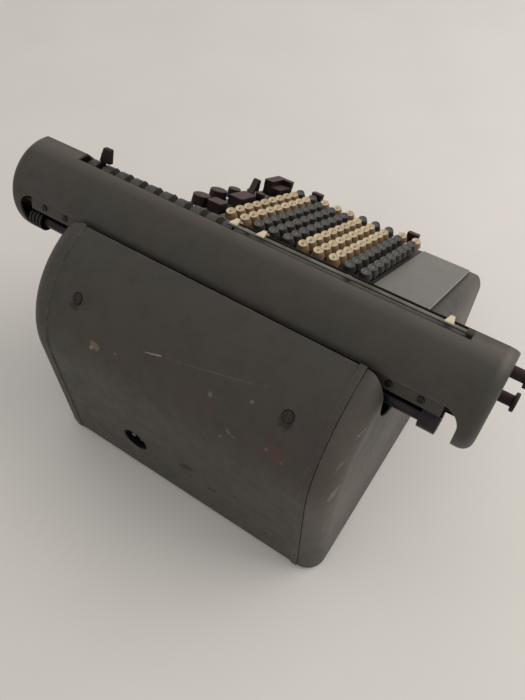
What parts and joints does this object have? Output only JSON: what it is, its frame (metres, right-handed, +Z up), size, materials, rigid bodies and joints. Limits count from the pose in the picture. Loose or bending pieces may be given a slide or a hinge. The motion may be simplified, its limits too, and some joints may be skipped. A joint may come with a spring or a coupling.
{
  "type": "electromechanical desk calculator",
  "caption": "Desk calculating machine with a sloping full keyboard, a round sliding register carriage, a motor-driven shaft and a curved rear cover.",
  "frame": {"origin": "on the table under the middle of the whole machine, carriage and plungers included", "axes": "+X to the operator's right along the carriage, +Y to the rear, +Z up"},
  "size_m": [0.455, 0.353, 0.25],
  "materials": {
    "enamel": "satin dark olive-grey enamel, worn and speckled",
    "panel": "satin grey enamel with bright worn edges",
    "steel": "plain machined steel",
    "dark_steel": "blackened steel",
    "cream": "aged cream plastic",
    "slate": "dark grey-green plastic",
    "wheel": "dark register wheels with figures",
    "maroon": "dark maroon-brown plastic",
    "motor": "painted cast housing",
    "rubber": "black rubber",
    "bakelite": "black moulded plastic",
    "brass": "plain brass"
  },
  "bodies": {
    "chassis": {"base_plate": "steel", "rubber_feet": "rubber", "left_side_frame": "steel", "right_side_frame": "steel", "tie_rods": "steel", "rear_cover": "enamel", "rear_cover_screws": "steel", "left_side_casing": "enamel", "right_side_casing": "enamel", "front_case": "enamel", "keyboard_plate": "dark_steel", "left_panel": "panel", "right_panel": "panel", "shaft_bushes": "brass", "front_rail": "steel", "motor_housing": "motor", "power_inlet": "bakelite", "inlet_pins": "brass"},
    "carriage": {"carriage_shaft": "dark_steel", "clamp_collar": "steel", "ribbed_collar": "dark_steel", "carriage_frame": "steel", "flange_screws": "steel", "carriage_housing": "enamel", "carriage_face": "enamel", "register_spindles": "steel", "marker_rail": "steel"},
    "column_1": {"key_column_1": "cream"},
    "column_2": {"key_column_2": "cream"},
    "column_3": {"key_column_3": "slate"},
    "column_4": {"key_column_4": "slate"},
    "column_5": {"key_column_5": "slate"},
    "column_6": {"key_column_6": "cream"},
    "column_7": {"key_column_7": "cream"},
    "column_8": {"key_column_8": "cream"},
    "column_9": {"key_column_9": "slate"},
    "column_10": {"key_column_10": "slate"},
    "dark_clears": {"dark_clear_keys": "slate"},
    "cream_clears": {"cream_clear_keys": "cream"},
    "round_rear_button": {"round_key_rear": "maroon"},
    "round_front_button": {"round_key_front": "maroon"},
    "small_round_button": {"small_round_key": "maroon"},
    "square_button": {"square_key": "maroon"},
    "bar_button": {"bar_key": "maroon"},
    "small_square_button": {"small_square_key": "maroon"},
    "add_button": {"add_key": "maroon"},
    "front_right_button": {"front_key_right": "maroon"},
    "front_left_button": {"front_key_left": "maroon"},
    "setting_lever": {"setting_lever": "maroon"},
    "lower_dials": {"lower_dials": "wheel"},
    "upper_wheels": {"upper_wheels": "wheel"},
    "decimal_marker_1": {"decimal_marker_1": "cream"},
    "decimal_marker_2": {"decimal_marker_2": "cream"},
    "decimal_marker_3": {"decimal_marker_3": "cream"},
    "carriage_lever": {"carriage_lever": "maroon"},
    "upper_plunger": {"upper_plunger": "maroon"},
    "lower_plunger": {"lower_plunger": "maroon"},
    "drive_shaft": {"drive_shaft": "steel"},
    "motor_spindle": {"motor_spindle": "steel"}
  },
  "joints": [
    {"name": "carriage_slide", "type": "slide", "parent": "chassis", "child": "carriage", "axis": [1, 0, 0], "range_m": [-0.0636, 0.0477]},
    {"name": "column_1_press", "type": "slide", "parent": "chassis", "child": "column_1", "axis": [0, 0.4478, -0.8942], "range_m": [0, 0.0045], "stiffness_N_per_m": 400, "springref_m": -0.004},
    {"name": "column_2_press", "type": "slide", "parent": "chassis", "child": "column_2", "axis": [0, 0.4478, -0.8942], "range_m": [0, 0.0045], "stiffness_N_per_m": 400, "springref_m": -0.004},
    {"name": "column_3_press", "type": "slide", "parent": "chassis", "child": "column_3", "axis": [0, 0.4478, -0.8942], "range_m": [0, 0.0045], "stiffness_N_per_m": 400, "springref_m": -0.004},
    {"name": "column_4_press", "type": "slide", "parent": "chassis", "child": "column_4", "axis": [0, 0.4478, -0.8942], "range_m": [0, 0.0045], "stiffness_N_per_m": 400, "springref_m": -0.004},
    {"name": "column_5_press", "type": "slide", "parent": "chassis", "child": "column_5", "axis": [0, 0.4478, -0.8942], "range_m": [0, 0.0045], "stiffness_N_per_m": 400, "springref_m": -0.004},
    {"name": "column_6_press", "type": "slide", "parent": "chassis", "child": "column_6", "axis": [0, 0.4478, -0.8942], "range_m": [0, 0.0045], "stiffness_N_per_m": 400, "springref_m": -0.004},
    {"name": "column_7_press", "type": "slide", "parent": "chassis", "child": "column_7", "axis": [0, 0.4478, -0.8942], "range_m": [0, 0.0045], "stiffness_N_per_m": 400, "springref_m": -0.004},
    {"name": "column_8_press", "type": "slide", "parent": "chassis", "child": "column_8", "axis": [0, 0.4478, -0.8942], "range_m": [0, 0.0045], "stiffness_N_per_m": 400, "springref_m": -0.004},
    {"name": "column_9_press", "type": "slide", "parent": "chassis", "child": "column_9", "axis": [0, 0.4478, -0.8942], "range_m": [0, 0.0045], "stiffness_N_per_m": 400, "springref_m": -0.004},
    {"name": "column_10_press", "type": "slide", "parent": "chassis", "child": "column_10", "axis": [0, 0.4478, -0.8942], "range_m": [0, 0.0045], "stiffness_N_per_m": 400, "springref_m": -0.004},
    {"name": "dark_clears_press", "type": "slide", "parent": "chassis", "child": "dark_clears", "axis": [0, 0.4478, -0.8942], "range_m": [0, 0.0045], "stiffness_N_per_m": 400, "springref_m": -0.004},
    {"name": "cream_clears_press", "type": "slide", "parent": "chassis", "child": "cream_clears", "axis": [0, 0.4478, -0.8942], "range_m": [0, 0.0045], "stiffness_N_per_m": 400, "springref_m": -0.004},
    {"name": "round_rear_button_press", "type": "slide", "parent": "chassis", "child": "round_rear_button", "axis": [0, 0.4478, -0.8942], "range_m": [0, 0.004], "stiffness_N_per_m": 400, "springref_m": -0.004},
    {"name": "round_front_button_press", "type": "slide", "parent": "chassis", "child": "round_front_button", "axis": [0, 0.4478, -0.8942], "range_m": [0, 0.004], "stiffness_N_per_m": 400, "springref_m": -0.004},
    {"name": "small_round_button_press", "type": "slide", "parent": "chassis", "child": "small_round_button", "axis": [0, 0.4478, -0.8942], "range_m": [0, 0.004], "stiffness_N_per_m": 400, "springref_m": -0.004},
    {"name": "square_button_press", "type": "slide", "parent": "chassis", "child": "square_button", "axis": [0, 0.4478, -0.8942], "range_m": [0, 0.004], "stiffness_N_per_m": 400, "springref_m": -0.004},
    {"name": "bar_button_press", "type": "slide", "parent": "chassis", "child": "bar_button", "axis": [0, 0.4478, -0.8942], "range_m": [0, 0.004], "stiffness_N_per_m": 400, "springref_m": -0.004},
    {"name": "small_square_button_press", "type": "slide", "parent": "chassis", "child": "small_square_button", "axis": [0, 0.4478, -0.8942], "range_m": [0, 0.004], "stiffness_N_per_m": 400, "springref_m": -0.004},
    {"name": "add_button_press", "type": "slide", "parent": "chassis", "child": "add_button", "axis": [0, 0.4478, -0.8942], "range_m": [0, 0.004], "stiffness_N_per_m": 400, "springref_m": -0.004},
    {"name": "front_right_button_press", "type": "slide", "parent": "chassis", "child": "front_right_button", "axis": [0, 0.4478, -0.8942], "range_m": [0, 0.004], "stiffness_N_per_m": 400, "springref_m": -0.004},
    {"name": "front_left_button_press", "type": "slide", "parent": "chassis", "child": "front_left_button", "axis": [0, 0.4478, -0.8942], "range_m": [0, 0.004], "stiffness_N_per_m": 400, "springref_m": -0.004},
    {"name": "setting_lever_tilt", "type": "hinge", "parent": "chassis", "child": "setting_lever", "pos_m": [0.10505, -0.10366, 0.12897], "axis": [1, 0, 0], "range_deg": [-12, 12]},
    {"name": "lower_dials_turn", "type": "hinge", "parent": "carriage", "child": "lower_dials", "pos_m": [0.0015, 0.03794, 0.2068], "axis": [1, 0, 0], "continuous": true},
    {"name": "upper_wheels_turn", "type": "hinge", "parent": "carriage", "child": "upper_wheels", "pos_m": [0.0015, 0.0486, 0.22567], "axis": [1, 0, 0], "continuous": true},
    {"name": "decimal_marker_1_slide", "type": "slide", "parent": "carriage", "child": "decimal_marker_1", "axis": [1, 0, 0], "range_m": [-0.005, 0.001]},
    {"name": "decimal_marker_2_slide", "type": "slide", "parent": "carriage", "child": "decimal_marker_2", "axis": [1, 0, 0], "range_m": [-0.065, 0.006]},
    {"name": "decimal_marker_3_slide", "type": "slide", "parent": "carriage", "child": "decimal_marker_3", "axis": [1, 0, 0], "range_m": [-0.006, 0.068]},
    {"name": "carriage_lever_tilt", "type": "hinge", "parent": "carriage", "child": "carriage_lever", "pos_m": [0.158, 0.0486, 0.22567], "axis": [1, 0, 0], "range_deg": [-12, 12]},
    {"name": "upper_plunger_press", "type": "slide", "parent": "carriage", "child": "upper_plunger", "axis": [1, 0, 0], "range_m": [0, 0.008], "stiffness_N_per_m": 300, "springref_m": -0.003},
    {"name": "lower_plunger_press", "type": "slide", "parent": "carriage", "child": "lower_plunger", "axis": [1, 0, 0], "range_m": [0, 0.008], "stiffness_N_per_m": 300, "springref_m": -0.003},
    {"name": "drive_turn", "type": "hinge", "parent": "chassis", "child": "drive_shaft", "pos_m": [0.0015, 0.0295, 0.096], "axis": [1, 0, 0], "continuous": true},
    {"name": "motor_turn", "type": "hinge", "parent": "chassis", "child": "motor_spindle", "pos_m": [0.0015, 0.0945, 0.05779], "axis": [1, 0, 0], "continuous": true}
  ],
  "couplings": [
    {"joint": "motor_turn", "follows": "drive_turn", "ratio": -4}
  ]
}
